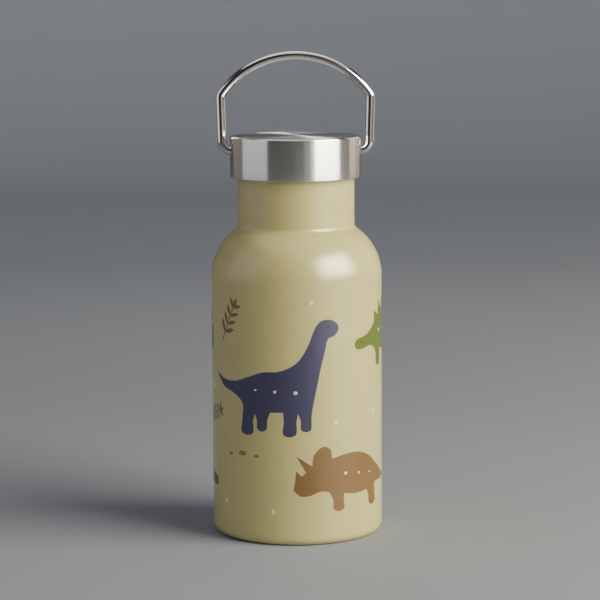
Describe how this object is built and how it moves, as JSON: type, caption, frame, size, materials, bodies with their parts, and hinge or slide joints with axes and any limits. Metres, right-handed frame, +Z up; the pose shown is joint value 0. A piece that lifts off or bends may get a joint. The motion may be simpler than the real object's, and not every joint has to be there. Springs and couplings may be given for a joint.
{
  "type": "kids water bottle",
  "caption": "Insulated steel drinking bottle with rounded shoulders, a screw cap and a swinging wire carrying bail.",
  "frame": {"origin": "centre of the ring that the bottle stands on", "axes": "+Z up along the bottle's axis, -Y towards the front of the print, X along the bail's swing axis"},
  "size_m": [0.07, 0.07, 0.1978],
  "materials": {
    "shell_paint": "satin cream paint",
    "print_blue": "satin print",
    "print_green": "satin print",
    "print_brown": "satin print",
    "print_leaf": "satin print",
    "print_tan": "satin print",
    "print_white": "satin print",
    "liner_steel": "satin",
    "seal_glass": "fused glass",
    "getter": "sintered",
    "cap_steel": "brushed round",
    "plug_plastic": "moulded",
    "plug_foam": "foam",
    "gasket": "matt silicone",
    "bail_wire": "polished"
  },
  "bodies": {
    "bottle": {"outer_shell": "shell_paint", "outer_base": "shell_paint", "inner_liner": "liner_steel", "liner_base": "liner_steel", "vacuum_seal_bead": "seal_glass", "base_cover_disc": "shell_paint", "getter_clip": "liner_steel", "getter_pellet": "getter"},
    "seal": {"lip_gasket": "gasket"},
    "cap": {"cap_shell": "cap_steel", "cap_core": "plug_plastic", "plug_foam": "plug_foam", "plug_cover": "plug_plastic"},
    "bail": {"bail_handle": "bail_wire"}
  },
  "joints": [
    {"name": "cap_lift", "type": "slide", "parent": "bottle", "child": "seal", "axis": [0, 0, 1], "range_m": [0, 0.032]},
    {"name": "cap_turn", "type": "hinge", "parent": "seal", "child": "cap", "pos_m": [0, 0, 0.1532], "axis": [0, 0, 1], "range_deg": [0, 1440]},
    {"name": "bail_swing", "type": "hinge", "parent": "cap", "child": "bail", "pos_m": [0, 0, 0.1573], "axis": [1, 0, 0], "range_deg": [-135, 135]}
  ],
  "couplings": [
    {"joint": "cap_lift", "follows": "cap_turn", "m_per_rad": 0.0012732}
  ]
}
